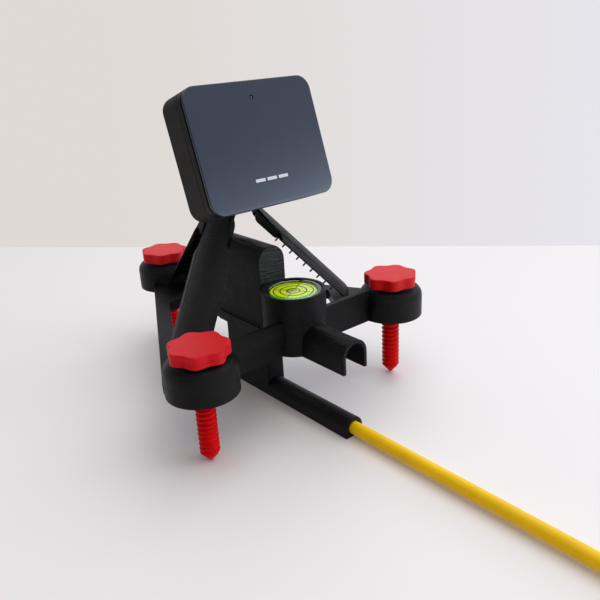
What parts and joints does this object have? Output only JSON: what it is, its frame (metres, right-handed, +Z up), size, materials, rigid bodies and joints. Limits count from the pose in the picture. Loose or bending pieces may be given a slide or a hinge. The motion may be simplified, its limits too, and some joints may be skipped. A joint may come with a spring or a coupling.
{
  "type": "golf launch monitor",
  "caption": "Radar launch monitor head on a folding mini tripod, standing in a levelling frame with thumb screws, bullseye level and a sliding carrier for an alignment rod.",
  "frame": {"origin": "on the surface it stands on, on the flat underside of the rod carrier, midway between the two front levelling screws", "axes": "+Z up, -Y along the alignment rod towards the target, +X to the right seen from behind the head"},
  "size_m": [0.189, 0.566, 0.1969],
  "materials": {
    "frame_plastic": "matt 3-D printed black with fine layer lines",
    "red_plastic": "satin 3-D printed red",
    "rod_yellow": "gloss yellow fibreglass",
    "cap_rubber": "matt black vinyl",
    "face_plastic": "satin dark slate",
    "bezel_plastic": "satin black",
    "case_rubber": "matt dark overmould",
    "seal_rubber": "matt black rubber",
    "tripod_plastic": "matt black, finely knurled",
    "light_lens": "clear smoked",
    "circuit_green": "solder mask",
    "shield_steel": "tinned sheet",
    "fastener_steel": "zinc plated",
    "insert_brass": "machined",
    "cell_wrap": "foil pouch",
    "vial_green": "translucent green acrylic",
    "vial_fluid": "fluorescent yellow-green",
    "vial_clear": "clear acrylic"
  },
  "bodies": {
    "frame": {"level_frame": "frame_plastic", "vial_body": "vial_green", "vial_fluid": "vial_fluid", "vial_bubble": "vial_clear", "vial_lens": "vial_clear"},
    "screw_1": {"level_screw_1": "red_plastic"},
    "knob_1": {"knob_1": "red_plastic"},
    "screw_2": {"level_screw_2": "red_plastic"},
    "knob_2": {"knob_2": "red_plastic"},
    "screw_3": {"level_screw_3": "red_plastic"},
    "knob_3": {"knob_3": "red_plastic"},
    "carrier": {"rod_carrier": "frame_plastic"},
    "rod": {"alignment_rod": "rod_yellow", "rod_end_cap": "cap_rubber"},
    "tripod": {"tripod_hub": "tripod_plastic", "leg_pin_left": "fastener_steel", "leg_pin_right": "fastener_steel", "leg_pin_rear": "fastener_steel"},
    "leg_left": {"tripod_leg_left": "tripod_plastic", "leg_foot_left": "seal_rubber"},
    "leg_right": {"tripod_leg_right": "tripod_plastic", "leg_foot_right": "seal_rubber"},
    "leg_rear": {"tripod_leg_rear": "tripod_plastic", "leg_foot_rear": "seal_rubber"},
    "swivel": {"ball_socket": "tripod_plastic"},
    "collar": {"clamp_collar": "tripod_plastic"},
    "head": {"front_plate": "face_plastic", "front_bezel": "bezel_plastic", "rear_casing": "case_rubber", "status_light": "light_lens", "radar_board": "circuit_green", "radar_shield": "shield_steel", "main_board": "circuit_green", "battery": "cell_wrap", "charge_port": "shield_steel", "mount_insert": "insert_brass", "case_screw_1": "fastener_steel", "case_screw_2": "fastener_steel", "case_screw_3": "fastener_steel", "case_screw_4": "fastener_steel", "ball_stud": "fastener_steel", "stud_pad": "seal_rubber"},
    "button": {"power_button": "seal_rubber"},
    "cover": {"port_cover": "seal_rubber"}
  },
  "joints": [
    {"name": "screw_1_travel", "type": "slide", "parent": "frame", "child": "screw_1", "axis": [0, 0, 1], "range_m": [-0.001, 0.03]},
    {"name": "knob_1_turn", "type": "hinge", "parent": "screw_1", "child": "knob_1", "pos_m": [-0.074, 0, 0.0684], "axis": [0, 0, 1], "range_deg": [-130, 3610]},
    {"name": "screw_2_travel", "type": "slide", "parent": "frame", "child": "screw_2", "axis": [0, 0, 1], "range_m": [-0.001, 0.03]},
    {"name": "knob_2_turn", "type": "hinge", "parent": "screw_2", "child": "knob_2", "pos_m": [0.074, 0, 0.0684], "axis": [0, 0, 1], "range_deg": [-130, 3610]},
    {"name": "screw_3_travel", "type": "slide", "parent": "frame", "child": "screw_3", "axis": [0, 0, 1], "range_m": [-0.001, 0.03]},
    {"name": "knob_3_turn", "type": "hinge", "parent": "screw_3", "child": "knob_3", "pos_m": [0, 0.1645, 0.0684], "axis": [0, 0, 1], "range_deg": [-130, 3610]},
    {"name": "carrier_drop", "type": "slide", "parent": "frame", "child": "carrier", "axis": [0, 0, 1], "range_m": [0, 0.034]},
    {"name": "rod_slide", "type": "slide", "parent": "carrier", "child": "rod", "axis": [0, -1, 0], "range_m": [0, 0.05]},
    {"name": "tripod_lift", "type": "slide", "parent": "frame", "child": "tripod", "axis": [0, 0, 1], "range_m": [0, 0.2]},
    {"name": "leg_left_fold", "type": "hinge", "parent": "tripod", "child": "leg_left", "pos_m": [-0.00953, 0.063, 0.1228], "axis": [0.5, -0.866, 0], "range_deg": [0, 42.7]},
    {"name": "leg_right_fold", "type": "hinge", "parent": "tripod", "child": "leg_right", "pos_m": [0.00953, 0.063, 0.1228], "axis": [0.5, 0.866, 0], "range_deg": [0, 42.7]},
    {"name": "leg_rear_fold", "type": "hinge", "parent": "tripod", "child": "leg_rear", "pos_m": [0, 0.0795, 0.1228], "axis": [-1, 0, 0], "range_deg": [0, 42.7]},
    {"name": "head_pan", "type": "hinge", "parent": "tripod", "child": "swivel", "pos_m": [0, 0.0685, 0.147], "axis": [0, 0, 1], "continuous": true},
    {"name": "collar_turn", "type": "hinge", "parent": "swivel", "child": "collar", "pos_m": [0, 0.0685, 0.1389], "axis": [0, 0, 1], "range_deg": [0, 90]},
    {"name": "head_tilt", "type": "hinge", "parent": "swivel", "child": "head", "pos_m": [0, 0.0685, 0.147], "axis": [1, 0, 0], "range_deg": [-25, 5]},
    {"name": "button_press", "type": "slide", "parent": "head", "child": "button", "axis": [-1, 0, 0], "range_m": [0, 0.0006], "stiffness_N_per_m": 600},
    {"name": "cover_open", "type": "hinge", "parent": "head", "child": "cover", "pos_m": [0.04435, 0.03924, 0.14278], "axis": [0, 0.9505, -0.3107], "range_deg": [0, 110]}
  ],
  "couplings": [
    {"joint": "leg_left_fold", "follows": "tripod_lift", "rad_per_m": 3.7244},
    {"joint": "leg_right_fold", "follows": "tripod_lift", "rad_per_m": 3.7244},
    {"joint": "leg_rear_fold", "follows": "tripod_lift", "rad_per_m": 3.7244},
    {"joint": "knob_1_turn", "follows": "screw_1_travel", "rad_per_m": 2094.4},
    {"joint": "knob_2_turn", "follows": "screw_2_travel", "rad_per_m": 2094.4},
    {"joint": "knob_3_turn", "follows": "screw_3_travel", "rad_per_m": 2094.4}
  ]
}
